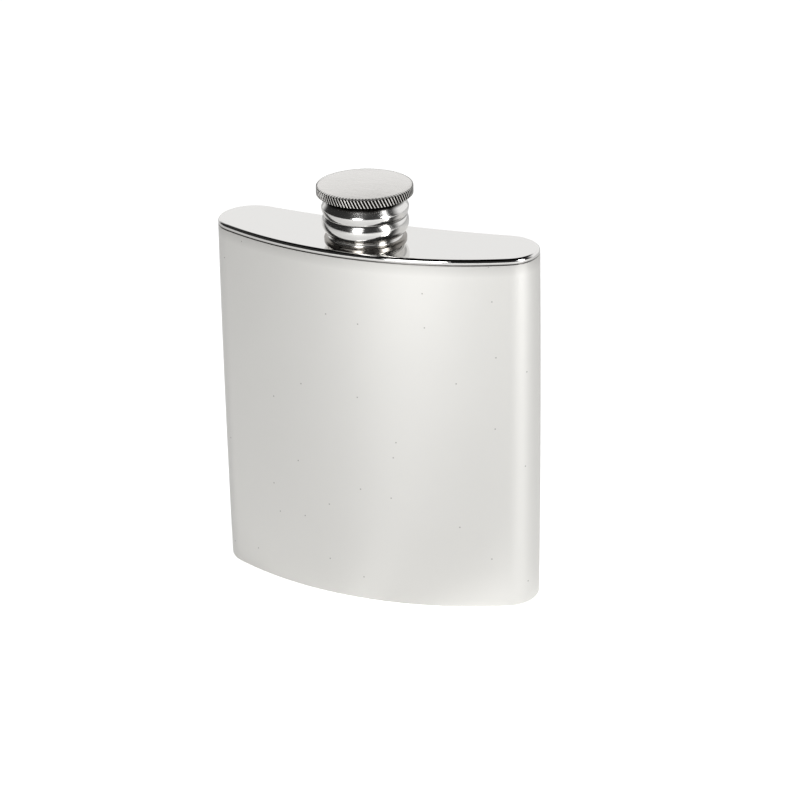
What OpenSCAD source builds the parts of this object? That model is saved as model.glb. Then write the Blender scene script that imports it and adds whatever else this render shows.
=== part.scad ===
// Pewter hip flask with a kidney section and a screw cap.
// The flask stands on its base, its bowed front face towards -Y.
// The origin is the centre of the base's bounding box, at the bottom.

/* [Body] */
// Width of the body, across both rounded ends
body_w = 92; // [88:1:104]
// Height of the body, from the base to the top plate
body_h = 102; // [80:1:140]
// How far the front face bows forward of the line between the end centres
front_bow = 18.1; // [16.5:0.1:20]
// How far the back face lies behind the line between the end centres
back_bow = 7.4; // [6.5:0.1:9]
// Radius of the rounded ends
end_r = 9.7; // [9.3:0.1:11]
// Thickness of the rolled pewter sheet
wall_t = 1; // [0.7:0.1:1.5]
// Thickness of the top and base plates
plate_t = 1.5; // [1.4:0.1:2.5]
// Radius of the buffed edge round the top and base plates
edge_r = 0.9; // [0.5:0.1:1.4]
// How much narrower each side is at the ends than at mid height
barrel = 0.25; // [0:0.05:0.5]

/* [Neck] */
// Radius of the filling bore
bore_r = 8; // [6:0.1:8.2]
// Height of the neck above the top plate
neck_h = 10.5; // [10:0.1:11]
// Radius of the neck where it passes through the top plate
foot_r = 10; // [9.6:0.1:10.2]
// How far the neck stands to +X of the body's middle
neck_x = -0.9; // [-2:0.1:2]

/* [Thread] */
// Rise of the thread in one turn
pitch = 3; // [2:0.25:4]
// Radius over the neck's thread
thread_r = 9.5; // [9.4:0.05:9.6]
// Depth from a ridge to a groove
thread_depth = 0.6; // [0.3:0.05:0.7]
// Radial gap between the cap's thread and the neck's
thread_gap = 0.2; // [0.15:0.05:0.3]

/* [Cap] */
// Radius over the two ribs round the cap
rib_r = 11.65; // [11.5:0.05:12]
// Radius of the bulge of each rib
rib_bulge = 3.6; // [3.4:0.1:5]
// Radius of the knurled disc over its teeth
disc_r = 12.9; // [12.5:0.1:14]
// Height of the knurled edge
knurl_h = 2.4; // [1.5:0.1:3.5]
// Number of knurl teeth
knurl_teeth = 88; // [40:1:100]
// Depth of the knurl
knurl_depth = 0.3; // [0.15:0.05:0.4]
// Rise of the disc's domed top above its edge
dome_h = 0.8; // [0.3:0.1:1.5]
// Thickness of the cap's crown
shell_t = 0.7; // [0.5:0.05:0.8]
// Thickness of the cork liner
liner_t = 1.2; // [1:0.1:1.2]

/* [Hidden] */

// Bright pewter, cooler and duller solder, and cork
PEWTER = [0.80, 0.80, 0.79];
SOLDER = [0.62, 0.63, 0.65];
CORK = [0.72, 0.56, 0.38];

// The end centres lie end_x either side of the middle. The front arc touches the inside of
// both end circles, and the hollow back arc touches their outside.
end_x = body_w / 2 - end_r;
front_in = front_bow - end_r;
front_c = (end_x * end_x - front_in * front_in) / (2 * front_in);
front_r = front_c + front_bow;
front_half = atan2(end_x, front_c);
back_in = end_r - back_bow;
back_c = (end_x * end_x - back_in * back_in) / (2 * back_in);
back_r = back_c - back_bow;
back_half = atan2(end_x, back_c);
// The outline is moved back so that its box is centred on the origin
shift_y = (front_bow - end_r) / 2;
neck_y = shift_y + (back_bow - front_bow) / 2;

// Steps in each arc of the outline, in the plates' rounded rims and up the wall
FRONT_STEPS = 34;
BACK_STEPS = 12;
END_STEPS = 18;
RIM_STEPS = 5;
WALL_STEPS = 4;
// Leg of the solder fillets inside, and width of the wall's soldered side seam
fillet = 1.2;
seam_w = 0.8;

// Heights above the top plate's upper face
seat_gap = 0.04;
solder_t = 0.2;
liner_low = neck_h + seat_gap;
liner_top = liner_low + liner_t;
shell_top = liner_top + shell_t;
under_disc = shell_top + solder_t;
skirt_low = 1.95;
// Mid heights of the cap's two ribs. Above the upper one a bend of radius crown_bend leads to
// a cone that leans in by crown_lean degrees.
low_rib = 4.9;
high_rib = 9;
crown_bend = 1;
crown_lean = 33;
RIB_STEPS = 7;
// Radius of the liner's seat in the cap
seat_r = 9.3;
// A groove of the thread lies at this height above the top plate, on the +X side
groove_z = 3.5;

// Steps round a threaded ring, and its greatest step in height
RING = 48;
THREAD_STEP = 0.375;
// Heights over which the thread fades: under the liner, and at the neck's rim and foot
CROWN_FADE = 0.9;
NECK_LEAD = 1.2;
NECK_RUNOUT = 0.85;
// Height of the neck's plain foot, leg of the solder collar round it and height of the collar's edge
foot_h = 1;
foot_fillet = 1.05;
collar_edge = 0.5;
liner_gap = 0.15;
// Slant of the knurl from upright, in degrees, and the bevel at its edges
knurl_slant = 26;
knurl_bevel = 0.15;
DOME_STEPS = 12;
ROUND = 96;
// How far a cutting shape runs past what it cuts
OVER = 1;

// Points of an arc about c, from angle a to angle b, without its last point
function arc(c, r, a, b, n) =
    [for (i = [0 : n - 1]) let (t = a + (b - a) * i / n) c + r * [cos(t), sin(t)]];

// The kidney outline, moved inwards by inset
function kidney(inset) =
    let (f = front_half, k = back_half)
    [for (p = concat(
        arc([0, front_c], front_r - inset, -90 - f, -90 + f, FRONT_STEPS),
        arc([end_x, 0], end_r - inset, -90 + f, 90 + k, END_STEPS),
        arc([0, back_c], back_r + inset, -90 + k, -90 - k, BACK_STEPS),
        arc([-end_x, 0], end_r - inset, 90 - k, 270 - f, END_STEPS)
    )) p + [0, shift_y]];

// A flat ring of 3-D points: an outline at height z
function level(points, z) = [for (p = points) [p[0], p[1], z]];

// The barrel's inset at height z, nothing at mid height
function waist(z) = barrel * pow(2 * z / body_h - 1, 2);

function kidney_level(z, inset) = level(kidney(waist(z) + inset), z);

// Skins rings of equal length, first to last. A loop joins the last to the first, and
// anything else gets a flat face at each end. Rings turn anticlockwise seen from above, and
// the surface faces outwards when they climb.
module skin(rings, loop = false) {
    m = len(rings[0]);
    n = len(rings);
    rows = loop ? n : n - 1;
    sides = [for (i = [0 : rows - 1], j = [0 : m - 1])
        let (k = (i + 1) % n, l = (j + 1) % m) [i * m + j, k * m + j, k * m + l, i * m + l]];
    ends = loop ? [] : [[for (j = [0 : m - 1]) j], [for (j = [m - 1 : -1 : 0]) (n - 1) * m + j]];
    polyhedron([for (r = rings, p = r) p], concat(sides, ends), convexity = 8);
}

// Heights of the wall's rings: the ends, the tops of the solder fillets and even steps between
wall_z = let (a = plate_t, b = body_h - plate_t, c = a + fillet, d = b - fillet)
    concat([a], [for (i = [0 : WALL_STEPS]) c + (d - c) * i / WALL_STEPS], [b]);

module wall_tube() {
    climb = [for (z = wall_z) kidney_level(z, 0)];
    fall = [for (i = [len(wall_z) - 1 : -1 : 0]) kidney_level(wall_z[i], wall_t)];
    skin(concat(climb, fall), loop = true);
}

// The gap between the rolled sheet's edges, at the -X end
module seam_gap() {
    translate([-body_w / 2 - OVER, shift_y - seam_w / 2, 0])
        cube([end_r / 2, seam_w, body_h]);
}

module body_wall() {
    color(PEWTER)
        difference() {
            wall_tube();
            seam_gap();
        }
}

module seam_solder() {
    color(SOLDER)
        intersection() {
            wall_tube();
            seam_gap();
        }
}

// A plate from z = 0 up to plate_t: a flat middle, and a rim with its lower edge rounded
module edge_plate() {
    flat = barrel + edge_r;
    rim = [for (i = [0 : RIM_STEPS]) let (t = 90 * i / RIM_STEPS)
        level(kidney(flat - edge_r * sin(t)), edge_r * (1 - cos(t)))];
    linear_extrude(height = plate_t) polygon(kidney(flat));
    skin(concat(rim, [level(kidney(barrel), plate_t), level(kidney(flat), plate_t)]), loop = true);
}

module base_plate() {
    color(PEWTER) edge_plate();
}

module top_plate() {
    color(PEWTER)
        difference() {
            translate([0, 0, body_h])
                mirror([0, 0, 1])
                edge_plate();
            translate([neck_x, neck_y, body_h - plate_t - OVER])
                cylinder(r = foot_r, h = plate_t + 2 * OVER, $fn = ROUND);
        }
}

// A solder fillet in the corner between the wall's inside and a plate, which lies at z
module corner_solder(z, up) {
    tip = z + up * fillet;
    foot = kidney_level(z, wall_t);
    wall = kidney_level(tip, wall_t);
    plate = level(kidney(waist(z) + wall_t + fillet), z);
    skin(up > 0 ? [foot, wall, plate] : [wall, foot, plate], loop = true);
}

module base_solder() {
    color(SOLDER) corner_solder(plate_t, 1);
}

module top_solder() {
    color(SOLDER) corner_solder(body_h - plate_t, -1);
}

// Half a wave of the thread, 0 in a groove and 1 on a ridge, at height z and angle a
function wave(z, a) = (1 - cos(360 * (z - groove_z) / pitch - a)) / 2;

// A ring whose radius runs from groove to ridge round the turn, where fade leaves the wave,
// and is plain where it doesn't
function thread_ring(z, groove, fade, plain) =
    [for (j = [0 : RING - 1]) let (a = 360 * j / RING,
        r = plain + fade * (groove + thread_depth * wave(z, a) - plain))
        [r * cos(a), r * sin(a), z]];

function ramp(x) = min(1, max(0, x));

function heights(low, high) =
    let (n = ceil((high - low) / THREAD_STEP)) [for (i = [0 : n]) low + (high - low) * i / n];

// Smallest radius of the thread on the neck and in the cap
neck_groove = thread_r - thread_depth;
inner_groove = neck_groove + thread_gap;

// The neck's tube, threaded outside above a plain foot that fills the top plate's hole
module neck_tube() {
    foot = [for (z = [-plate_t, foot_h]) thread_ring(z, 0, 0, foot_r)];
    thread = [for (z = heights(foot_h + NECK_RUNOUT / 2, neck_h))
        let (rim = ramp((neck_h - z) / NECK_LEAD), low = ramp((z - foot_h) / NECK_RUNOUT))
        thread_ring(z, neck_groove, min(rim, low), low < 1 ? foot_r : neck_groove)];
    color(PEWTER)
        translate([neck_x, neck_y, body_h])
        difference() {
            skin(concat(foot, thread));
            translate([0, 0, -plate_t - OVER])
                cylinder(r = bore_r, h = neck_h + plate_t + 2 * OVER, $fn = ROUND);
        }
}

// Collar of solder round the neck's foot, on the top plate: an upright edge under a hollow slope
module neck_solder() {
    slope = foot_fillet - collar_edge;
    color(SOLDER)
        translate([neck_x, neck_y, body_h])
        rotate_extrude($fn = ROUND)
        difference() {
            translate([foot_r, 0]) square(foot_fillet);
            translate([foot_r + foot_fillet, foot_fillet])
                scale([foot_fillet / slope, 1]) circle(r = slope, $fn = ROUND);
        }
}

// Points from height a up to height b of a rib whose middle is at height mid, without the last
function rib(mid, a, b) =
    [for (i = [0 : RIB_STEPS - 1]) let (z = a + (b - a) * i / RIB_STEPS)
        [rib_r - rib_bulge + sqrt(rib_bulge * rib_bulge - pow(z - mid, 2)), z]];

// Half the cap's outline: two ribs with a sharp groove between, under a conical crown
module cap_section() {
    groove = (low_rib + high_rib) / 2;
    bend = [for (i = [0 : RIB_STEPS]) let (t = crown_lean * i / RIB_STEPS)
        [rib_r - crown_bend * (1 - cos(t)), high_rib + crown_bend * sin(t)]];
    top_r = bend[RIB_STEPS][0] - (shell_top - bend[RIB_STEPS][1]) * tan(crown_lean);
    polygon(concat([[0, skirt_low]], rib(low_rib, skirt_low, groove), rib(high_rib, groove, high_rib),
        bend, [[top_r, shell_top], [0, shell_top]]));
}

// The cap's shell: ribbed outside, and threaded inside up to the seat of the liner
module cap_shell() {
    inside = [for (z = heights(skirt_low - OVER, liner_low))
        thread_ring(z, inner_groove, ramp((liner_low - z) / CROWN_FADE), seat_r)];
    color(PEWTER)
        translate([neck_x, neck_y, body_h])
        difference() {
            rotate_extrude($fn = ROUND) cap_section();
            skin(concat(inside, [thread_ring(liner_top, 0, 0, seat_r)]));
        }
}

// Outline of the knurl: a point on each tooth and one in each groove
function knurl_outline() =
    [for (i = [0 : 2 * knurl_teeth - 1]) let (a = 180 * i / knurl_teeth)
        (disc_r - (i % 2) * knurl_depth) * [cos(a), sin(a)]];

// Half the disc's section without its teeth, under a dome of radius dome_r
module disc_section(core_r, dome_r) {
    half = asin(core_r / dome_r);
    polygon(concat([[0, 0], [core_r, 0]],
        [for (i = [0 : DOME_STEPS]) let (t = half * (1 - i / DOME_STEPS))
            [dome_r * sin(t), knurl_h + dome_h - dome_r * (1 - cos(t))]]));
}

module cap_disc() {
    core_r = disc_r - knurl_depth - knurl_bevel;
    dome_r = (core_r * core_r + dome_h * dome_h) / (2 * dome_h);
    tooth_h = knurl_h - 2 * knurl_bevel;
    twist = tooth_h * tan(knurl_slant) / disc_r * 180 / PI;
    color(PEWTER)
        translate([neck_x, neck_y, body_h + under_disc])
        union() {
            translate([0, 0, knurl_bevel])
                linear_extrude(height = tooth_h, twist = twist, slices = 3)
                polygon(knurl_outline());
            rotate_extrude($fn = ROUND) disc_section(core_r, dome_r);
        }
}

// The film of solder that holds the disc on the cap's flat crown
module cap_solder() {
    color(SOLDER)
        translate([neck_x, neck_y, body_h + shell_top])
        cylinder(r = seat_r, h = solder_t, $fn = ROUND);
}

module cap_liner() {
    color(CORK)
        translate([neck_x, neck_y, body_h + liner_low])
        cylinder(r = seat_r - liner_gap, h = liner_t, $fn = ROUND);
}

body_wall();
seam_solder();
top_plate();
base_plate();
top_solder();
base_solder();
neck_tube();
neck_solder();
cap_shell();
cap_disc();
cap_solder();
cap_liner();
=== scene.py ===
"""A pewter hip flask of kidney section with a screw cap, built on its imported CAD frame.

The file follows the flask as it is put together: the studio, then the rolled wall and its seam, the
two plates, the solder, the neck, and the cap from its shell to its cork. Lengths are in metres.
"""

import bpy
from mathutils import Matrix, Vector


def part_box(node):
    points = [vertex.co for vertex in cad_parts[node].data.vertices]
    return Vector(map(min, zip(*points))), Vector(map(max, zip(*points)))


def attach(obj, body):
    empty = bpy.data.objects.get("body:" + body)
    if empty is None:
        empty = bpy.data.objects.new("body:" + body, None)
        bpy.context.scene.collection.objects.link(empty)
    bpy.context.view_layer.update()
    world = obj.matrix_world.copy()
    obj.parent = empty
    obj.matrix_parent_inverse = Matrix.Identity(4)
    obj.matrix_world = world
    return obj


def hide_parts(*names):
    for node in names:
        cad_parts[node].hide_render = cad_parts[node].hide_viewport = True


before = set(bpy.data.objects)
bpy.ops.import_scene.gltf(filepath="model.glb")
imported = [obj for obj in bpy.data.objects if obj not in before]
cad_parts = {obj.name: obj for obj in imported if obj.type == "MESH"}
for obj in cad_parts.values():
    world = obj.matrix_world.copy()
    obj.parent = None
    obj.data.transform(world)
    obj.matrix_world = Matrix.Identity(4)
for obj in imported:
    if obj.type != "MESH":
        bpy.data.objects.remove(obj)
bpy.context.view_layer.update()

import math

import bmesh
import bpy
import numpy as np
from mathutils import Matrix, Vector

MM = 0.001

# ---------------------------------------------------------------------------------------------
# The studio. A white table in a dim room with pale walls and a dark ceiling, and two upright
# softboxes, one left of the camera and one to the right. The camera looks down on the flask's
# front from the right.
# ---------------------------------------------------------------------------------------------
AZIMUTH = math.radians(22.43)
ELEVATION = math.radians(23.93)
ROLL = math.radians(-1.22)
DISTANCE = 784 * MM
LENS_MM = 128.4
SHIFT = (0.0248, 0.0068)

BODY_LOW, BODY_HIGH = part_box("body_wall")
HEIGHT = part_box("top_plate")[1][2]
END_RADIUS = 9.7 * MM
END_LINE = BODY_HIGH[1] - END_RADIUS


def linear(hex_colour):
    """An sRGB hex colour as linear red, green, blue and alpha."""
    channels = [int(hex_colour[i : i + 2], 16) / 255 for i in (1, 3, 5)]
    return [c / 12.92 if c <= 0.04045 else ((c + 0.055) / 1.055) ** 2.4 for c in channels] + [1.0]


def add_node(tree, kind, settings=None, inputs=None):
    """Adds a node to a tree. settings are its properties. inputs go to its sockets: a value, or
    another node's output to link. A Mix node's sockets go by number: 0 is the factor, 2 and 3 are
    its two numbers, and 6 and 7 its two colours."""
    made = tree.nodes.new("ShaderNode" + kind)
    for name, value in (settings or {}).items():
        setattr(made, name, value)
    for name, value in (inputs or {}).items():
        if isinstance(value, bpy.types.NodeSocket):
            tree.links.new(value, made.inputs[name])
        else:
            made.inputs[name].default_value = value
    return made


def direction(azimuth, elevation):
    """The unit vector towards an azimuth, turned from -Y towards +X, and an elevation."""
    return Vector((math.sin(azimuth) * math.cos(elevation), -math.cos(azimuth) * math.cos(elevation),
                   math.sin(elevation)))


def facing(place, target, roll=0.0):
    """The matrix that puts a camera or light at place, looking at target."""
    turn = (target - place).to_track_quat("-Z", "Y").to_matrix().to_4x4()
    return Matrix.Translation(place) @ turn @ Matrix.Rotation(roll, 4, "Z")


aim = Vector((0, END_LINE, HEIGHT / 2))
camera_data = bpy.data.cameras.new("camera")
camera_data.lens = LENS_MM
camera_data.shift_x, camera_data.shift_y = SHIFT
camera = bpy.data.objects.new("camera", camera_data)
bpy.context.collection.objects.link(camera)
camera.matrix_world = facing(aim + DISTANCE * direction(AZIMUTH, ELEVATION), aim, ROLL)
bpy.context.scene.camera = camera
bpy.context.scene.view_settings.view_transform = "Standard"

LEFT_AZIMUTH = math.radians(1)
RIGHT_AZIMUTH = math.radians(77)
SOFTBOX_ELEVATION = math.radians(21)
SOFTBOX_DISTANCE = 1.0
SOFTBOX_HEIGHT = 0.68


def softbox(name, azimuth, width, radiance):
    """A soft panel of light that faces the flask. Its power is its radiance over its area."""
    data = bpy.data.lights.new(name, "AREA")
    data.shape = "RECTANGLE"
    data.size, data.size_y = width, SOFTBOX_HEIGHT
    data.energy = radiance * width * SOFTBOX_HEIGHT * math.pi
    lamp = bpy.data.objects.new(name, data)
    bpy.context.collection.objects.link(lamp)
    lamp.matrix_world = facing(aim + SOFTBOX_DISTANCE * direction(azimuth, SOFTBOX_ELEVATION), aim)
    lamp.visible_camera = False


softbox("softbox_left", LEFT_AZIMUTH, width=0.34, radiance=7.2)
softbox("softbox_right", RIGHT_AZIMUTH, width=0.28, radiance=8.0)

world = bpy.data.worlds.new("studio")
world.use_nodes = True
bpy.context.scene.world = world
sky = world.node_tree
sky.nodes.clear()
seen = add_node(sky, "LightPath").outputs["Is Camera Ray"]
gaze = add_node(sky, "SeparateXYZ", inputs={0: add_node(sky, "TexCoord").outputs["Generated"]})
# The ceiling's edge is lower behind the flask than in front of it, and only the wall behind is lit
rise = add_node(sky, "Math", {"operation": "MULTIPLY_ADD"},
                {0: gaze.outputs["Y"], 1: 0.12, 2: gaze.outputs["Z"]})
walls = add_node(sky, "ValToRGB", inputs={"Fac": rise.outputs[0]})
stops = walls.color_ramp.elements
stops[0].position, stops[0].color = 0.0, linear("#303030")
stops[1].position, stops[1].color = 0.05, linear("#FFFFFF")
for place, shade in ((0.68, "#FFFFFF"), (0.78, "#1E1E1E"), (1.0, "#161616")):
    stops.new(place).color = linear(shade)
level = add_node(sky, "MapRange", inputs={"Value": gaze.outputs["Y"], "From Min": 0.25,
                                          "From Max": 0.55, "To Min": 0.03, "To Max": 1.0})
room = add_node(sky, "Background", inputs={"Color": walls.outputs["Color"],
                                           "Strength": level.outputs[0]})
white = add_node(sky, "Background", inputs={"Color": linear("#FFFFFF"), "Strength": 1.0})
both = add_node(sky, "MixShader", inputs={0: seen, 1: room.outputs[0], 2: white.outputs[0]})
add_node(sky, "OutputWorld", inputs={"Surface": both.outputs[0]})

TABLE = 4.0
# How much the paper glows to the camera and, by reflection, to the flask
GLOW_FLASK = 0.31
GLOW_CAMERA = 0.8
# How much brighter the paper glows in the painted pools of light below the left and right softboxes,
# and how sharply they fall away
PAINTED_POOL_LEFT = 0.08
PAINTED_POOL_RIGHT = 0.2
PAINTED_POOL_FALL = 20.0
corners = [(-TABLE, -TABLE, 0), (TABLE, -TABLE, 0), (TABLE, TABLE, 0), (-TABLE, TABLE, 0)]
table_mesh = bpy.data.meshes.new("table")
table_mesh.from_pydata(corners, [], [(0, 1, 2, 3)])
table = bpy.data.objects.new("table", table_mesh)
bpy.context.collection.objects.link(table)
# Matt white paper. It glows a little to the camera, to stay white, and less to the flask
paper = bpy.data.materials.new("white_paper")
paper.use_nodes = True
shader = paper.node_tree.nodes["Principled BSDF"]
shader.inputs["Base Color"].default_value = linear("#F4F4F3")
shader.inputs["Roughness"].default_value = 0.9
shader.inputs["Specular IOR Level"].default_value = 0.0
shader.inputs["Emission Color"].default_value = linear("#FFFFFF")
tree = paper.node_tree
seen = add_node(tree, "LightPath").outputs["Is Camera Ray"]
# A painted pool of light, glowing in the paper's emission, lies below each softbox, and the wall
# shows it as an upright band. It falls away as a power of the cosine of the bearing from the softbox's
# own azimuth
spot = add_node(tree, "TexCoord").outputs["Object"]
bearing = add_node(tree, "VectorMath", {"operation": "NORMALIZE"}, {0: spot}).outputs[0]
glow_and_painted_pools = GLOW_FLASK
for azimuth, gain in ((LEFT_AZIMUTH, PAINTED_POOL_LEFT), (RIGHT_AZIMUTH, PAINTED_POOL_RIGHT)):
    toward = add_node(tree, "VectorMath", {"operation": "DOT_PRODUCT"},
                      {0: bearing, 1: direction(azimuth, 0)}).outputs["Value"]
    front = add_node(tree, "Math", {"operation": "MAXIMUM"}, {0: toward, 1: 0.0}).outputs[0]
    painted_pool = add_node(tree, "Math", {"operation": "POWER"}, {0: front, 1: PAINTED_POOL_FALL}).outputs[0]
    glow_and_painted_pools = add_node(tree, "Math", {"operation": "MULTIPLY_ADD"}, {0: painted_pool, 1: gain, 2: glow_and_painted_pools}).outputs[0]
glow = add_node(tree, "MapRange", inputs={"Value": seen, "To Min": glow_and_painted_pools, "To Max": GLOW_CAMERA})
tree.links.new(glow.outputs[0], shader.inputs["Emission Strength"])
table_mesh.materials.append(paper)

# ---------------------------------------------------------------------------------------------
# The body's wall: one sheet of pewter rolled to a kidney section, slightly barrelled by its
# drawing, with its edges brought together at the left end. It is buffed to a satin.
# ---------------------------------------------------------------------------------------------
WALL = 1.0 * MM
PLATE = 1.5 * MM
# How far the wall swells at mid height, the seam's width, and the bevel either side of the joint
# with the top plate
BARREL = 0.25 * MM
SEAM = 0.8 * MM
JOINT = 0.18 * MM
# Points up the wall's outside and down its inside
WALL_OUT, WALL_IN = 33, 17
SHARP = math.radians(40)
# The outline: round ends of END_RADIUS about END_LINE, a front arc whose middle is FRONT_BOW in
# front of that line, and a hollow back arc whose middle is BACK_BOW behind it. Each arc meets its
# neighbours without a corner, which gives its centre and half angle
BACK_BOW = 7.4 * MM
HALF_WIDTH = (BODY_HIGH[0] - BODY_LOW[0]) / 2
FRONT_BOW = END_LINE - BODY_LOW[1]
END_X = HALF_WIDTH - END_RADIUS
FRONT_IN = FRONT_BOW - END_RADIUS
FRONT_C = (END_X**2 - FRONT_IN**2) / (2 * FRONT_IN)
FRONT_HALF = math.atan2(END_X, FRONT_C)
BACK_IN = END_RADIUS - BACK_BOW
BACK_C = (END_X**2 - BACK_IN**2) / (2 * BACK_IN)
BACK_HALF = math.atan2(END_X, BACK_C)


def outline_arcs(gap):
    """The outline's points as rows of centre x and y, radius, sense and angle, anticlockwise seen
    from above from the seam at the left end back to it, leaving a gap of the given width.
    sense is how the radius answers to an inset: -1 on a bulging arc and 1 on the hollow back."""
    half_gap = math.asin(gap / 2 / END_RADIUS)
    q = math.pi / 2
    arcs = [
        (-END_X, 0, END_RADIUS, -1, 2 * q + half_gap, 3 * q - FRONT_HALF, 40),
        (0, FRONT_C, FRONT_C + FRONT_BOW, -1, 3 * q - FRONT_HALF, 3 * q + FRONT_HALF, 140),
        (END_X, 0, END_RADIUS, -1, 3 * q + FRONT_HALF, 5 * q + BACK_HALF, 80),
        (0, BACK_C, BACK_C - BACK_BOW, 1, 3 * q + BACK_HALF, 3 * q - BACK_HALF, 80),
        (-END_X, 0, END_RADIUS, -1, q - BACK_HALF, 2 * q - half_gap, 40),
    ]
    rows = []
    for *circle, start, end, count in arcs:
        turn = np.linspace(start, end, count, endpoint=False)
        rows.append(np.column_stack([np.full(count, value) for value in circle] + [turn]))
    return np.concatenate(rows + [[[-END_X, 0, END_RADIUS, -1, 2 * q - half_gap]]])


def kidney(points, inset):
    """Each outline point moved inwards by inset: its arc's centre plus a radius along its angle.
    An inset of shape (n, 1) gives n outlines, as an (n, points, 2) array."""
    x, y, radius, sense, angle = points.T
    reach = radius + sense * inset
    return np.stack([x + reach * np.cos(angle), END_LINE + y + reach * np.sin(angle)], axis=-1)


def waist(z):
    """How far the barrelled wall draws in at height z: a parabola, nothing at mid height."""
    return BARREL * (2 * z / HEIGHT - 1) ** 2


def raised(flat, z):
    """An (n, m, 3) grid from (n, m, 2) places and n heights."""
    return np.concatenate([flat, np.broadcast_to(z[:, None, None], flat.shape[:2] + (1,))], axis=-1)


def skin(name, grid, loop=False, **layers):
    """A closed mesh on an (n, m, 3) grid of points. The second way always closes on itself. The
    first closes too if loop, and otherwise its ends are filled, or drawn to a pole where a whole
    row is one point. layers are named (n, m) arrays, kept on the vertices."""
    index = np.arange(grid.shape[0] * grid.shape[1]).reshape(grid.shape[:2])
    low = index if loop else index[:-1]
    high = np.roll(index, -1, axis=0) if loop else index[1:]
    faces = np.stack([low, np.roll(low, -1, 1), np.roll(high, -1, 1), high], -1).reshape(-1, 4).tolist()
    if not loop:
        faces += [index[0, ::-1].tolist(), index[-1].tolist()]
    mesh = bpy.data.meshes.new(name)
    mesh.from_pydata(grid.reshape(-1, 3), [], faces)
    for layer, values in layers.items():
        mesh.attributes.new(layer, "FLOAT", "POINT").data.foreach_set("value", values.ravel())
    shape = bmesh.new()
    shape.from_mesh(mesh)
    bmesh.ops.remove_doubles(shape, verts=shape.verts, dist=1e-7)
    bmesh.ops.recalc_face_normals(shape, faces=shape.faces)
    shape.to_mesh(mesh)
    shape.free()
    mesh.shade_smooth()
    mesh.set_sharp_from_angle(angle=SHARP)
    piece = bpy.data.objects.new(name, mesh)
    bpy.context.collection.objects.link(piece)
    return piece


def fit(piece, material, slot, body, *nodes):
    """Gives a piece its finish and its place in the frame."""
    piece.data.materials.clear()
    piece.data.materials.append(material)
    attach(piece, body)
    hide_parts(*nodes)


def sheet_grid(points, low, high):
    """The wall over some outline points: at each, a loop up its outside and down its inside. The
    top edge is broken by JOINT, which leaves a fine V where the wall meets the top plate."""
    up, down = np.linspace(low, high - JOINT, WALL_OUT), np.linspace(high, low, WALL_IN)
    z = np.concatenate([up, [high], down])
    inset = waist(z) + np.concatenate([np.zeros(WALL_OUT), [JOINT], np.full(WALL_IN, WALL)])
    return raised(kidney(points, inset[:, None]), z).transpose(1, 0, 2)


def arc_length(grid):
    """Distance along the wall of each row of a grid, from the seam."""
    steps = np.linalg.norm(np.diff(grid[:, 0, :2], axis=0), axis=1)
    return np.concatenate([[0], np.cumsum(steps)])


def metal(name, colour, roughness):
    """A new bare metal, with its node tree and its shader."""
    material = bpy.data.materials.new(name)
    material.use_nodes = True
    shader = material.node_tree.nodes["Principled BSDF"]
    shader.inputs["Metallic"].default_value = 1.0
    shader.inputs["Base Color"].default_value = linear(colour)
    shader.inputs["Roughness"].default_value = roughness
    return material, material.node_tree, shader


SATIN_COLOUR = "#E6E5E2"


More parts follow.
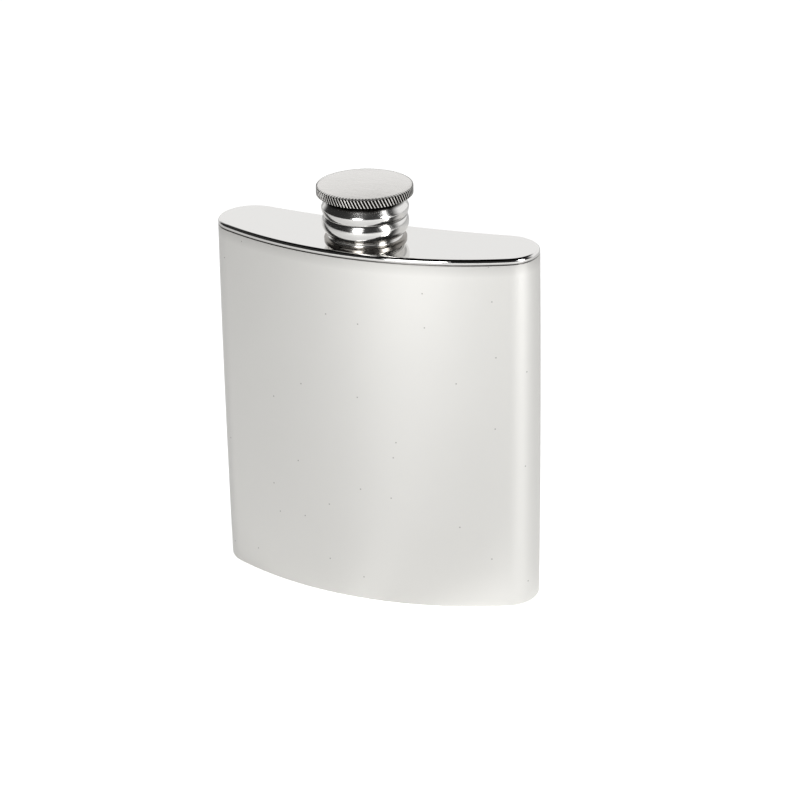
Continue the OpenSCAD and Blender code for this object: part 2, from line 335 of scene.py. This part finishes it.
def satin_pewter():
    """Pewter sheet buffed on a fine mop: a broad soft shine with no clear reflections, fine level
    buffing lines, and a few small pits where the metal was porous or knocked."""
    material, tree, shader = metal("satin_pewter_buffed", SATIN_COLOUR, 0.34)
    along = add_node(tree, "Attribute", {"attribute_name": "along"}).outputs["Fac"]
    place = add_node(tree, "TexCoord").outputs["Object"]
    height = add_node(tree, "SeparateXYZ", inputs={0: place}).outputs["Z"]
    sheet = add_node(tree, "CombineXYZ", inputs={"X": along, "Y": height}).outputs[0]
    # Buffing lines 0.35 mm apart and about 12 mm long: real ones are finer than can be seen
    lines_at = add_node(tree, "Mapping", inputs={"Vector": sheet, "Scale": (85, 2900, 1)}).outputs[0]
    lines = add_node(tree, "TexNoise", inputs={"Vector": lines_at, "Scale": 1.0, "Detail": 2.0})
    # The mop's pressure leaves soft clouds some 15 mm across
    clouds = add_node(tree, "TexNoise", inputs={"Vector": place, "Scale": 65.0, "Detail": 3.0})
    sheen = add_node(tree, "Math", {"operation": "ADD"},
                     {0: lines.outputs["Fac"], 1: clouds.outputs["Fac"]})
    rough = add_node(tree, "MapRange", inputs={"Value": sheen.outputs[0], "From Min": 0.6,
                                               "From Max": 1.4, "To Min": 0.31, "To Max": 0.38})
    tree.links.new(rough.outputs[0], shader.inputs["Roughness"])
    # Pits 0.2 to 0.5 mm across, one to each 9 mm cell, but only in a quarter of the cells
    cells = add_node(tree, "TexVoronoi", {"voronoi_dimensions": "2D"},
                     {"Vector": sheet, "Scale": 110.0})
    chance = add_node(tree, "SeparateColor", inputs={0: cells.outputs["Color"]})
    picked = add_node(tree, "Math", {"operation": "GREATER_THAN"}, {0: chance.outputs[0], 1: 0.75})
    reach = add_node(tree, "MapRange", inputs={"Value": cells.outputs["Distance"], "From Min": 0.010,
                                               "From Max": 0.028, "To Min": 0.6, "To Max": 0.0})
    pit = add_node(tree, "Math", {"operation": "MULTIPLY"},
                   {0: picked.outputs[0], 1: reach.outputs[0]}).outputs[0]
    # Black polish left along the joint with the top plate
    joint = add_node(tree, "Attribute", {"attribute_name": "groove"}).outputs["Fac"]
    dark = add_node(tree, "Math", {"operation": "MAXIMUM"}, {0: pit, 1: joint}).outputs[0]
    tone = add_node(tree, "Mix", {"data_type": "RGBA"},
                    {0: dark, 6: linear(SATIN_COLOUR), 7: linear("#4A4540")})
    tree.links.new(tone.outputs[2], shader.inputs["Base Color"])
    relief = add_node(tree, "Math", {"operation": "MULTIPLY_ADD"},
                      {0: pit, 1: -10.0, 2: lines.outputs["Fac"]})
    bump = add_node(tree, "Bump", inputs={"Strength": 0.12, "Distance": 0.02 * MM,
                                          "Height": relief.outputs[0]})
    tree.links.new(bump.outputs[0], shader.inputs["Normal"])
    return material


SATIN = satin_pewter()
wall_points = outline_arcs(SEAM)
wall_grid = sheet_grid(wall_points, PLATE, HEIGHT - PLATE)
along_wall = np.repeat(arc_length(wall_grid)[:, None], wall_grid.shape[1], axis=1)
black = np.zeros(along_wall.shape)
# The last point on the outside and the one in the V
black[:, WALL_OUT - 1 : WALL_OUT + 1] = [0.2, 0.9]
body_wall = skin("flask_wall", wall_grid, along=along_wall, groove=black)
fit(body_wall, SATIN, "satin_pewter", "flask", "body_wall")

# ---------------------------------------------------------------------------------------------
# The seam: the sheet's edges are joined with a run of pewter solder, dressed flush with the
# wall and buffed with it, so that it shows only as a slightly cooler, duller line.
# ---------------------------------------------------------------------------------------------


def wiped_solder(name, colour, roughness):
    """Pewter solder, melted in and wiped or dressed: greyer than the sheet and unevenly dull."""
    material, tree, shader = metal(name, colour, roughness)
    place = add_node(tree, "TexCoord").outputs["Object"]
    # Grains and drag marks about 1 mm across
    grain = add_node(tree, "TexNoise", inputs={"Vector": place, "Scale": 900.0, "Detail": 4.0})
    rough = add_node(tree, "MapRange", inputs={"Value": grain.outputs["Fac"], "To Min": roughness - 0.1,
                                               "To Max": roughness + 0.15})
    tree.links.new(rough.outputs[0], shader.inputs["Roughness"])
    bump = add_node(tree, "Bump", inputs={"Strength": 0.25, "Distance": 0.06 * MM,
                                          "Height": grain.outputs["Fac"]})
    tree.links.new(bump.outputs[0], shader.inputs["Normal"])
    return material


seam_angle = math.asin(SEAM / 2 / END_RADIUS)
across = math.pi + np.linspace(-seam_angle, seam_angle, 7)
seam_points = np.array([[-END_X, 0, END_RADIUS, -1, angle] for angle in across])
seam = skin("seam_solder_run", sheet_grid(seam_points, PLATE, HEIGHT - PLATE))
fit(seam, wiped_solder("pewter_solder_dressed", "#D6D5D4", 0.4), "solder", "flask", "seam_solder")

# ---------------------------------------------------------------------------------------------
# The plates: flat pewter stampings soldered on to close the wall, their edges buffed round. The
# top one is polished bright and holed for the neck, and the base is satin like the wall.
# ---------------------------------------------------------------------------------------------
EDGE = 0.9 * MM
# The neck's foot fills the top plate's hole. Its axis stands left of the middle, and is the disc's
FOOT = 10.0 * MM
NECK_X = -0.9 * MM
NECK_Y = sum(corner[1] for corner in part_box("cap_disc")) / 2
NECK = Vector((NECK_X, NECK_Y, HEIGHT))
EDGE_ROWS = 15
ring_points = outline_arcs(0)[:-1]


def plate_rows(top, down, joint):
    """The rows of a plate's edge: from its outer face at height top, a quarter circle of radius
    EDGE to the outline, then straight on to a corner broken by joint and in again on the inner
    face. down is -1 for a plate that lies below its outer face, else 1."""
    t = np.linspace(0, math.pi / 2, EDGE_ROWS)
    inset = np.concatenate([EDGE * (1 - np.sin(t)), [0, joint, EDGE]])
    z = top + down * np.concatenate([EDGE * (1 - np.cos(t)), [PLATE - joint, PLATE, PLATE]])
    return raised(kidney(ring_points, (BARREL + inset)[:, None]), z)


def towards(rows, centre, radius, steps):
    """Rows from a circle about centre out to the first of rows, at that row's height. Each point
    lies on the straight line from that row's own point to the centre."""
    edge = rows[0]
    away = edge[:, :2] - np.array(centre[:2])
    unit = away / np.linalg.norm(away, axis=1, keepdims=True)
    stop = np.array(centre[:2]) + radius * unit
    share = np.linspace(0, 1, steps)[:, None, None]
    return raised(stop + share * (edge[:, :2] - stop), np.full(steps, edge[0, 2]))


POLISHED_COLOUR = "#E3E2E0"


def polished_pewter(name, roughness, swell_depth, line_scale, line_depth):
    """Pewter brought to a bright polish: it mirrors the room, a little soft, and its hand-worked
    surface bends the mirror image gently. Fine mop lines and faint grey dulling break it up. The
    depths are strengths of bump, and line_scale is largest across the lines."""
    material, tree, shader = metal(name, POLISHED_COLOUR, roughness)
    place = add_node(tree, "TexCoord").outputs["Object"]
    # Dulling in patches some 5 mm across, with finer ones inside
    dull = add_node(tree, "TexNoise", inputs={"Vector": place, "Scale": 220.0, "Detail": 5.0,
                                              "Roughness": 0.6})
    rough = add_node(tree, "MapRange", inputs={"Value": dull.outputs["Fac"], "From Min": 0.35,
                                               "From Max": 0.75, "To Min": roughness,
                                               "To Max": roughness + 0.06})
    tree.links.new(rough.outputs[0], shader.inputs["Roughness"])
    # Swells some 9 mm long from the mop, under lines 0.2 to 0.25 mm apart
    swell = add_node(tree, "TexNoise", inputs={"Vector": place, "Scale": 110.0, "Detail": 1.0})
    lines_at = add_node(tree, "Mapping", inputs={"Vector": place, "Scale": line_scale}).outputs[0]
    lines = add_node(tree, "TexNoise", inputs={"Vector": lines_at, "Scale": 1.0, "Detail": 2.0})
    broad = add_node(tree, "Bump", inputs={"Strength": swell_depth, "Distance": 0.2 * MM,
                                           "Height": swell.outputs["Fac"]})
    fine = add_node(tree, "Bump", inputs={"Strength": line_depth, "Distance": 0.02 * MM,
                                          "Height": lines.outputs["Fac"], "Normal": broad.outputs[0]})
    tree.links.new(fine.outputs[0], shader.inputs["Normal"])
    # Black polish left where the cloth doesn't reach, and painted shade under the cap's disc, by the
    # piece's own groove layer
    groove = add_node(tree, "Attribute", {"attribute_name": "groove"}).outputs["Fac"]
    tone = add_node(tree, "Mix", {"data_type": "RGBA"},
                    {0: groove, 6: linear(POLISHED_COLOUR), 7: linear("#1D1A17")})
    tree.links.new(tone.outputs[2], shader.inputs["Base Color"])
    return material


MIRROR = polished_pewter("polished_pewter_plate", 0.04, 0.05, (500, 5000, 500), 0.06)
rim = plate_rows(HEIGHT, -1, JOINT)
inner = towards(rim, NECK, FOOT, 12)[:-1]
under = inner[0] - np.array([0, 0, PLATE])
plate_grid = np.concatenate([inner, rim, [under]])
black = np.zeros(plate_grid.shape[:2])
# The two rows of the broken edge
broken = len(inner) + EDGE_ROWS
black[broken : broken + 2] = [[0.35], [0.95]]
top_plate = skin("flask_top_plate", plate_grid, loop=True, groove=black)
fit(top_plate, MIRROR, "polished_pewter", "flask", "top_plate")

BASE_JOINT = 0.02 * MM
rim = plate_rows(0, 1, BASE_JOINT)
inner = towards(rim, (0, 0), 0, 12)[:-1]
cover = towards(rim[-1:], (0, 0), 0, 6)[::-1][1:]
base_plate = skin("flask_base_plate", np.concatenate([inner, rim, cover]))
fit(base_plate, SATIN, "satin_pewter", "flask", "base_plate")

# ---------------------------------------------------------------------------------------------
# The rest of the solder: a fillet run round inside each plate and a film between the cap's shell
# and disc, all as the CAD has them, and a collar dressed round the neck's foot on the top plate.
# ---------------------------------------------------------------------------------------------
INSIDE_SOLDER = wiped_solder("pewter_solder_as_run", "#A9A8A8", 0.5)
for name in ("top_solder", "base_solder", "cap_solder"):
    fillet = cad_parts[name]
    fillet.data.materials.clear()
    fillet.data.materials.append(INSIDE_SOLDER)

TURNS = 240


def round_grid(radius, z):
    """Rings about the neck's axis, z up from the top plate. radius is (n, 1) or (n, TURNS)."""
    angle = np.linspace(0, 2 * math.pi, TURNS, endpoint=False)
    radius = np.broadcast_to(radius, (len(z), TURNS))
    height = np.broadcast_to(np.asarray(z).reshape(len(z), -1), (len(z), TURNS))
    return np.stack([NECK.x + radius * np.cos(angle), NECK.y + radius * np.sin(angle),
                     NECK.z + height], axis=-1)


# The collar's width and height, and the height of its upright edge under the hollow slope
COLLAR = 1.05 * MM
COLLAR_EDGE = 0.5 * MM
t = np.linspace(0, math.pi / 2, 11)
collar_r = FOOT + COLLAR * np.concatenate([1 - np.cos(t), [1, 0]])
collar_z = np.concatenate([COLLAR - (COLLAR - COLLAR_EDGE) * np.sin(t), [0, 0]])
neck_solder = skin("neck_solder_collar", round_grid(collar_r[:, None], collar_z), loop=True)
DRESSED_SOLDER = wiped_solder("pewter_solder_dressed_bright", "#8F8B86", 0.2)
fit(neck_solder, DRESSED_SOLDER, "solder", "flask", "neck_solder")

# ---------------------------------------------------------------------------------------------
# The neck: a thick pewter tube turned on the lathe, with a coarse round thread above a plain foot
# and a rounded drinking rim. Polished bright, with some black polish left in the thread and painted
# shade on the foot.
# ---------------------------------------------------------------------------------------------
NECK_H = 10.5 * MM
BORE = 8.0 * MM
# The thread: its pitch, depth and play, the height at which the neck's groove passes the +X side,
# and the radii of the neck and of the cap along that groove
PITCH = 3.0 * MM
THREAD = 0.6 * MM
GAP = 0.2 * MM
GROOVE_Z = 3.5 * MM
NECK_GROOVE = 8.9 * MM
CAP_GROOVE = NECK_GROOVE + GAP
# The foot's height, the thread's run out above it and lead in below the top, and the rim's height
FOOT_H = 1.0 * MM
RUNOUT = 0.85 * MM
LEAD = 1.2 * MM
RIM = 0.4 * MM
RIM_MIDDLE, RIM_HALF = (NECK_GROOVE + BORE) / 2, (NECK_GROOVE - BORE) / 2


def whole(column):
    """A column of values repeated round the turn."""
    return np.repeat(np.asarray(column)[:, None], TURNS, axis=1)


def wave(z):
    """The thread at heights z, round the turn: a cosine wave, 0 in the neck's groove and 1 on its
    ridge, that climbs a pitch in a turn anticlockwise."""
    angle = np.linspace(0, 2 * math.pi, TURNS, endpoint=False)
    phase = 2 * math.pi * (np.asarray(z)[:, None] - GROOVE_Z) / PITCH - angle
    return (1 - np.cos(phase)) / 2


def blend(start, end, share):
    """From start to end as share, a column, goes from 0 to 1, with no kink at either end."""
    share = np.clip(share, 0, 1)[:, None]
    return start + (end - start) * share * share * (3 - 2 * share)


z = np.linspace(FOOT_H, NECK_H - RIM, 110)
crest = NECK_GROOVE + THREAD * wave(z)
outside = blend(FOOT, blend(NECK_GROOVE, crest, (NECK_H - z) / LEAD), (z - FOOT_H) / RUNOUT)
t = np.linspace(0, math.pi, 13)[1:-1]
rim_r = RIM_MIDDLE + RIM_HALF * np.cos(t)
rim_z = NECK_H - RIM + RIM * np.sin(t)
bore_z = np.linspace(NECK_H - RIM, -PLATE, 12)
foot_z = np.linspace(-PLATE, FOOT_H, 6)[:-1]
foot_r, bore_r = np.full(len(foot_z), FOOT), np.full(len(bore_z), BORE)
radius = np.concatenate([whole(foot_r), outside, whole(rim_r), whole(bore_r)])
height = np.concatenate([foot_z, z, rim_z, bore_z])
clean = np.zeros((len(rim_z) + len(bore_z), TURNS))
# Painted shade on the foot under the cap's skirt, and black polish in the thread's grooves
shade = np.concatenate([whole(np.full(len(foot_z), 0.2)), 0.5 * (1 - wave(z)) ** 3, clean])
neck = skin("neck", round_grid(radius, height), loop=True, groove=shade)
TURNED = polished_pewter("polished_pewter_turned", 0.14, 0.15, (300, 300, 4000), 0.35)
fit(neck, TURNED, "polished_pewter", "flask", "neck_tube")

# ---------------------------------------------------------------------------------------------
# The cap's shell: cast pewter turned outside to two round ribs with a sharp groove between, and
# threaded inside. Polished bright, with black polish left in the groove and painted shade on the cone
# under the disc.
# ---------------------------------------------------------------------------------------------
# The liner's thickness, its play over the neck's rim, and the crown's thickness over the liner
LINER = 1.2 * MM
LINER_PLAY = 0.04 * MM
CROWN_WALL = 0.7 * MM
# Heights up from the top plate: the skirt's lip, the liner, the ceiling over it and the crown
SKIRT = 1.95 * MM
LINER_LOW = NECK_H + LINER_PLAY
CEILING = LINER_LOW + LINER
CROWN = CEILING + CROWN_WALL
# The thread fades out over FADE into the seat, the bore that holds the liner
FADE = 0.9 * MM
SEAT = 9.3 * MM
LIP = 0.3 * MM
# The ribs' crests, their arcs, and the crown: a bend above the high rib, then a cone leaning in
RIB = 11.65 * MM
LOW_RIB, HIGH_RIB = 4.9 * MM, 9.0 * MM
RIB_BULGE = 3.6 * MM
RIB_GROOVE = (LOW_RIB + HIGH_RIB) / 2
CROWN_BEND = 1.0 * MM
CROWN_LEAN = math.radians(33)
# How far the black polish reaches either side of the groove, how far the painted shade under the
# disc reaches down from the crown, and the length over which that painted shade ends
BLACK_GROOVE = 0.14 * MM
DISC_SHADE_DEPTH = 1.9 * MM
DISC_SHADE_FADE = 0.6 * MM


def rib(z, middle):
    """Radius at heights z of a rib round the cap: an arc of radius RIB_BULGE about its middle."""
    return RIB - RIB_BULGE + np.sqrt(RIB_BULGE**2 - (z - middle) ** 2)


t = np.linspace(CROWN_LEAN, 0, 12)
bend_r = RIB - CROWN_BEND * (1 - np.cos(t))
bend_z = HIGH_RIB + CROWN_BEND * np.sin(t)
cone_z = np.linspace(CROWN, bend_z[0], 20)[:-1]
cone_r = bend_r[0] - (cone_z - bend_z[0]) * math.tan(CROWN_LEAN)
high_z = np.linspace(HIGH_RIB, RIB_GROOVE, 25)[1:-1]
low_z = np.linspace(RIB_GROOVE, SKIRT + LIP, 50)
outside_r = np.concatenate([cone_r, bend_r, rib(high_z, HIGH_RIB), rib(low_z, LOW_RIB)])
outside_z = np.concatenate([cone_z, bend_z, high_z, low_z])
crown_r = np.linspace(0, outside_r[0], 8)[:-1]
up_z = np.linspace(SKIRT + LIP, LINER_LOW, 90)
inside_r = blend(SEAT, CAP_GROOVE + THREAD * wave(up_z), (LINER_LOW - up_z) / FADE)
t = np.linspace(0, math.pi, 11)[1:-1, None]
lip_r = (outside_r[-1] + inside_r[0]) / 2 + (outside_r[-1] - inside_r[0]) / 2 * np.cos(t)
lip_z = SKIRT + LIP - LIP * np.sin(t[:, 0])
ceiling_r = np.linspace(SEAT, 0, 6)
radius = np.concatenate([whole(crown_r), whole(outside_r), lip_r, inside_r, whole(ceiling_r)])
crown_z, ceiling_z = np.full(len(crown_r), CROWN), np.full(len(ceiling_r), CEILING)
height = np.concatenate([crown_z, outside_z, lip_z, up_z, ceiling_z])
black = 0.9 * np.exp(-(((height - RIB_GROOVE) / BLACK_GROOVE) ** 2))
# Painted shade on the cone under the disc's overhang, darkest at the crown
black += 0.95 * np.clip((height - CROWN + DISC_SHADE_DEPTH) / DISC_SHADE_FADE, 0, 1)
black[len(crown_z) + len(outside_z) :] = 0
cap_shell = skin("cap_shell_turned", round_grid(radius, height), groove=whole(black))
fit(cap_shell, TURNED, "polished_pewter", "cap", "cap_shell")

# ---------------------------------------------------------------------------------------------
# The cap's disc: turned pewter with a low dome, its edge rolled with a slanting knurl for grip,
# soldered on the shell. The dome is brushed. The knurl's grooves hold dark polish, carried up their
# flanks as painted shade, and the underside carries painted shade.
# ---------------------------------------------------------------------------------------------
CAP_SOLDER = 0.2 * MM
DISC_LOW = CROWN + CAP_SOLDER
DISC = 12.9 * MM
KNURL_H = 2.4 * MM
KNURL_DEPTH = 0.3 * MM
KNURL_TEETH = 88
BEVEL = 0.15 * MM
DOME = 0.8 * MM
SLANT = math.radians(26)
TOOTH_STEPS = 16
UNDER_ROWS, TOOTH_ROWS, DOME_ROWS = 6, 16, 16
BRUSHED_COLOUR = "#DFDDDA"


def brushed_pewter():
    """Pewter brushed one way with a fine belt: bright, but grey along the scratches, which drag
    the highlights out across them."""
    material, tree, shader = metal("brushed_pewter_turned", BRUSHED_COLOUR, 0.2)
    place = add_node(tree, "TexCoord").outputs["Object"]
    # Scratches 0.25 mm apart and 8 mm long, coarser than the real ones so that they show
    lines_at = add_node(tree, "Mapping", inputs={"Vector": place, "Rotation": (0, 0, 0.5),
                                                 "Scale": (120, 4000, 120)}).outputs[0]
    lines = add_node(tree, "TexNoise", inputs={"Vector": lines_at, "Scale": 1.0, "Detail": 3.0})
    rough = add_node(tree, "MapRange", inputs={"Value": lines.outputs["Fac"], "From Min": 0.3,
                                               "From Max": 0.7, "To Min": 0.18, "To Max": 0.32})
    bump = add_node(tree, "Bump", inputs={"Strength": 0.35, "Distance": 0.03 * MM,
                                          "Height": lines.outputs["Fac"]})
    tree.links.new(bump.outputs[0], shader.inputs["Normal"])
    # The groove layer: black polish in the knurl's grooves, with painted shade up their flanks, and
    # painted shade on the disc's underside
    groove = add_node(tree, "Attribute", {"attribute_name": "groove"}).outputs["Fac"]
    tone = add_node(tree, "Mix", {"data_type": "RGBA"},
                    {0: groove, 6: linear(BRUSHED_COLOUR), 7: linear("#15130F")})
    tree.links.new(tone.outputs[2], shader.inputs["Base Color"])
    # The polish left in the grooves is a sooty wax, not a metal, and has no shine. The painted shade on
    # the knurl's flanks and the disc's underside is the same black without shine
    shader.inputs["Specular IOR Level"].default_value = 0.0
    bare = add_node(tree, "Math", {"operation": "SUBTRACT"}, {0: 1.0, 1: groove})
    tree.links.new(bare.outputs[0], shader.inputs["Metallic"])
    dull = add_node(tree, "Mix", {"data_type": "FLOAT"}, {0: groove, 2: rough.outputs[0], 3: 0.7})
    tree.links.new(dull.outputs[0], shader.inputs["Roughness"])
    return material


core = DISC - KNURL_DEPTH - BEVEL
dome_r = (core**2 + DOME**2) / (2 * DOME)
t = np.linspace(math.asin(core / dome_r), 0, DOME_ROWS)
tooth_z = np.linspace(BEVEL, KNURL_H - BEVEL, TOOTH_ROWS)
under_r, tooth_r = np.linspace(0, core, UNDER_ROWS), np.full(TOOTH_ROWS, DISC)
plain_r = np.concatenate([under_r, tooth_r, dome_r * np.sin(t)])
dome_z = KNURL_H + DOME - dome_r * (1 - np.cos(t))
height = np.concatenate([np.zeros(UNDER_ROWS), tooth_z, dome_z])
band = np.repeat([0, 1, 2], [UNDER_ROWS, TOOTH_ROWS, DOME_ROWS])[:, None]
toothed = (band == 1).astype(float)
angle = np.linspace(0, 2 * math.pi, KNURL_TEETH * TOOTH_STEPS, endpoint=False)
# A cosine round the turn with its ends cut off flat: 0 on a tooth's land and 1 in a groove
notch = np.clip(0.56 + 0.8 * np.cos(KNURL_TEETH * angle), 0, 1)
slant = -np.clip(height, BEVEL, KNURL_H - BEVEL)[:, None] * math.tan(SLANT) / DISC
radius = plain_r[:, None] - toothed * KNURL_DEPTH * notch
turned = angle + slant
grid = np.stack([NECK.x + radius * np.cos(turned), NECK.y + radius * np.sin(turned),
                 np.broadcast_to(NECK.z + DISC_LOW + height[:, None], radius.shape)], axis=-1)
# Black polish in the knurl's grooves, raised eightfold so that painted shade blackens the flanks too,
# and painted shade on the disc's underside
black = np.clip(8 * toothed * notch + 0.9 * (band == 0), 0, 1)
cap_disc = skin("cap_disc_knurled", grid, groove=black)
fit(cap_disc, brushed_pewter(), "brushed_pewter", "cap", "cap_disc")

# ---------------------------------------------------------------------------------------------
# The liner: a disc of agglomerated cork pressed up into the cap, with the neck's rim printed in
# its underside.
# ---------------------------------------------------------------------------------------------


def cork():
    """Ground cork bound and sliced: warm tan granules 1 to 2 mm across, each its own shade, with
    dark binder between and a dry, matt, slightly open face."""
    material = bpy.data.materials.new("agglomerated_cork")
    material.use_nodes = True
    tree = material.node_tree
    shader = tree.nodes["Principled BSDF"]
    place = add_node(tree, "TexCoord").outputs["Object"]
    # Granules from a cell pattern of 1.4 mm, its edges roughened by 0.6 mm
    bend = add_node(tree, "TexNoise", inputs={"Vector": place, "Scale": 900.0, "Detail": 3.0})
    moved = add_node(tree, "Mix", {"data_type": "RGBA"},
                     {0: 0.0006, 6: place, 7: bend.outputs["Color"]})
    grains = add_node(tree, "TexVoronoi", inputs={"Vector": moved.outputs[2], "Scale": 700.0})
    edges = add_node(tree, "TexVoronoi", {"feature": "DISTANCE_TO_EDGE"},
                     {"Vector": moved.outputs[2], "Scale": 700.0})
    shade = add_node(tree, "SeparateColor", inputs={0: grains.outputs["Color"]})
    tan = add_node(tree, "Mix", {"data_type": "RGBA"},
                   {0: shade.outputs[0], 6: linear("#C79A63"), 7: linear("#9C6F42")})
    binder = add_node(tree, "MapRange", inputs={"Value": edges.outputs["Distance"], "From Max": 0.12})
    colour = add_node(tree, "Mix", {"data_type": "RGBA"},
                      {0: binder.outputs[0], 6: linear("#5A3B22"), 7: tan.outputs[2]})
    tree.links.new(colour.outputs[2], shader.inputs["Base Color"])
    shader.inputs["Roughness"].default_value = 0.85
    bump = add_node(tree, "Bump", inputs={"Strength": 0.5, "Distance": 0.2 * MM,
                                          "Height": binder.outputs[0]})
    tree.links.new(bump.outputs[0], shader.inputs["Normal"])
    return material


LINER_R = SEAT - 0.15 * MM
# The rim's print, its depth and half width, and the cuts on the liner's lower and upper edges
PRINT = 0.12 * MM
PRINT_HALF = 0.6 * MM
LOW_EDGE = 0.15 * MM
HIGH_EDGE = 0.1 * MM
r = np.linspace(0, LINER_R - LOW_EDGE, 60)
pressed = PRINT * np.clip(1 - np.abs(r - RIM_MIDDLE) / PRINT_HALF, 0, 1) ** 0.5
back_r = np.linspace(LINER_R - 3 * HIGH_EDGE, 0, 5)
radius = np.concatenate([r, [LINER_R, LINER_R, LINER_R - HIGH_EDGE], back_r])
height = LINER_LOW + np.concatenate([pressed, [LOW_EDGE, LINER - HIGH_EDGE], np.full(6, LINER)])
liner = skin("cap_liner_cork", round_grid(radius[:, None], height))
fit(liner, cork(), "cork", "liner", "cap_liner")
